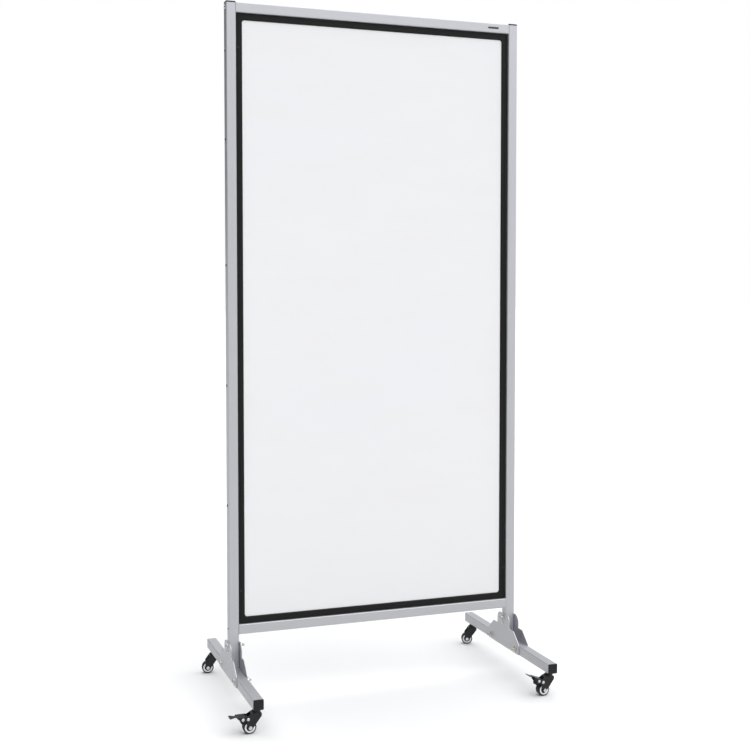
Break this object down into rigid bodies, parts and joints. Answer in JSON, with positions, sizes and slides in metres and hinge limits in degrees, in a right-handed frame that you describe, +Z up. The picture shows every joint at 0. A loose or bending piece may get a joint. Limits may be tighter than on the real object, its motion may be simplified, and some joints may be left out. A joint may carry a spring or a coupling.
{
  "type": "rolling whiteboard",
  "caption": "Tall double-sided dry-erase board in a silver square-tube stand with braced feet on small swivel casters, some with pedal brakes.",
  "frame": {"origin": "middle of the object's footprint box, on the floor; the stand's mid-plane is at X = +27.5 mm because a brake pedal reaches past the left foot", "axes": "+Z up, -Y out of the front writing face, +X to the right of a person reading the front face"},
  "size_m": [1.024, 0.62, 2.0955],
  "materials": {
    "silver_paint": "satin silver-grey powder coat",
    "black_plastic": "moulded, fine grain",
    "black_trim": "extruded, satin",
    "white_enamel": "glossy enamel, dry-erase",
    "board_core": "pressed fibreboard, hidden",
    "zinc": "bright zinc plate",
    "bearing_steel": "polished balls",
    "black_screw": "black oxide",
    "badge": "plain dark plate, no mark",
    "caster_black": "semi-gloss black",
    "tyre": "smooth black tread",
    "hub_plastic": "moulded black",
    "hub_ring": "bright plated ring",
    "shoe_rubber": "moulded black"
  },
  "bodies": {
    "stand": {"left_upright": "silver_paint", "right_upright": "silver_paint", "top_rail": "silver_paint", "bottom_rail": "silver_paint", "left_foot": "silver_paint", "right_foot": "silver_paint", "upright_caps": "black_plastic", "foot_end_caps": "black_plastic", "rail_joint_blocks": "black_plastic", "rail_joint_screws": "zinc", "board_core": "board_core", "front_writing_surface": "white_enamel", "rear_writing_surface": "white_enamel", "left_trim": "black_trim", "right_trim": "black_trim", "top_trim": "black_trim", "bottom_trim": "black_trim", "trim_corners": "black_trim", "panel_screws": "black_screw", "trim_screws": "black_screw", "blank_badge": "badge", "left_outer_bracket": "silver_paint", "left_inner_bracket": "silver_paint", "right_inner_bracket": "silver_paint", "right_outer_bracket": "silver_paint", "bracket_bolts": "zinc", "bracket_washers": "zinc", "bracket_nuts": "zinc", "locating_screws": "zinc", "caster_stems": "black_screw", "caster_stem_nuts": "zinc", "swivel_balls": "bearing_steel"},
    "front_left_swivel": {"front_left_fork": "caster_black", "front_left_axle": "zinc", "front_left_pivot_rivet": "zinc"},
    "front_left_wheel": {"front_left_tyre": "tyre", "front_left_hub": "hub_plastic", "front_left_hub_rings": "hub_ring"},
    "front_left_brake": {"front_left_brake_lever": "caster_black", "front_left_brake_shoe": "shoe_rubber", "front_left_lever_rivet": "zinc"},
    "front_right_swivel": {"front_right_fork": "caster_black", "front_right_axle": "zinc", "front_right_pivot_rivet": "zinc"},
    "front_right_wheel": {"front_right_tyre": "tyre", "front_right_hub": "hub_plastic", "front_right_hub_rings": "hub_ring"},
    "front_right_brake": {"front_right_brake_lever": "caster_black", "front_right_brake_shoe": "shoe_rubber", "front_right_lever_rivet": "zinc"},
    "rear_left_swivel": {"rear_left_fork": "caster_black", "rear_left_axle": "zinc"},
    "rear_left_wheel": {"rear_left_tyre": "tyre", "rear_left_hub": "hub_plastic", "rear_left_hub_rings": "hub_ring"},
    "rear_right_swivel": {"rear_right_fork": "caster_black", "rear_right_axle": "zinc"},
    "rear_right_wheel": {"rear_right_tyre": "tyre", "rear_right_hub": "hub_plastic", "rear_right_hub_rings": "hub_ring"}
  },
  "joints": [
    {"name": "front_left_swivel_turn", "type": "hinge", "parent": "stand", "child": "front_left_swivel", "pos_m": [-0.43375, -0.279, 0.06], "axis": [0, 0, 1], "continuous": true},
    {"name": "front_left_wheel_roll", "type": "hinge", "parent": "front_left_swivel", "child": "front_left_wheel", "pos_m": [-0.45375, -0.279, 0.019], "axis": [0, 1, 0], "continuous": true},
    {"name": "front_left_brake_press", "type": "hinge", "parent": "front_left_swivel", "child": "front_left_brake", "pos_m": [-0.45975, -0.279, 0.0443], "axis": [0, 1, 0], "range_deg": [0, 20]},
    {"name": "front_right_swivel_turn", "type": "hinge", "parent": "stand", "child": "front_right_swivel", "pos_m": [0.48875, -0.279, 0.06], "axis": [0, 0, 1], "continuous": true},
    {"name": "front_right_wheel_roll", "type": "hinge", "parent": "front_right_swivel", "child": "front_right_wheel", "pos_m": [0.46878, -0.28005, 0.019], "axis": [-0.0523, 0.9986, 0], "continuous": true},
    {"name": "front_right_brake_press", "type": "hinge", "parent": "front_right_swivel", "child": "front_right_brake", "pos_m": [0.46279, -0.28036, 0.0443], "axis": [-0.0523, 0.9986, 0], "range_deg": [-20, 0]},
    {"name": "rear_left_swivel_turn", "type": "hinge", "parent": "stand", "child": "rear_left_swivel", "pos_m": [-0.43375, 0.279, 0.06], "axis": [0, 0, 1], "continuous": true},
    {"name": "rear_left_wheel_roll", "type": "hinge", "parent": "rear_left_swivel", "child": "rear_left_wheel", "pos_m": [-0.45356, 0.28178, 0.019], "axis": [0.1392, 0.9903, 0], "continuous": true},
    {"name": "rear_right_swivel_turn", "type": "hinge", "parent": "stand", "child": "rear_right_swivel", "pos_m": [0.48875, 0.279, 0.06], "axis": [0, 0, 1], "continuous": true},
    {"name": "rear_right_wheel_roll", "type": "hinge", "parent": "rear_right_swivel", "child": "rear_right_wheel", "pos_m": [0.46996, 0.28584, 0.019], "axis": [0.342, 0.9397, 0], "continuous": true}
  ]
}
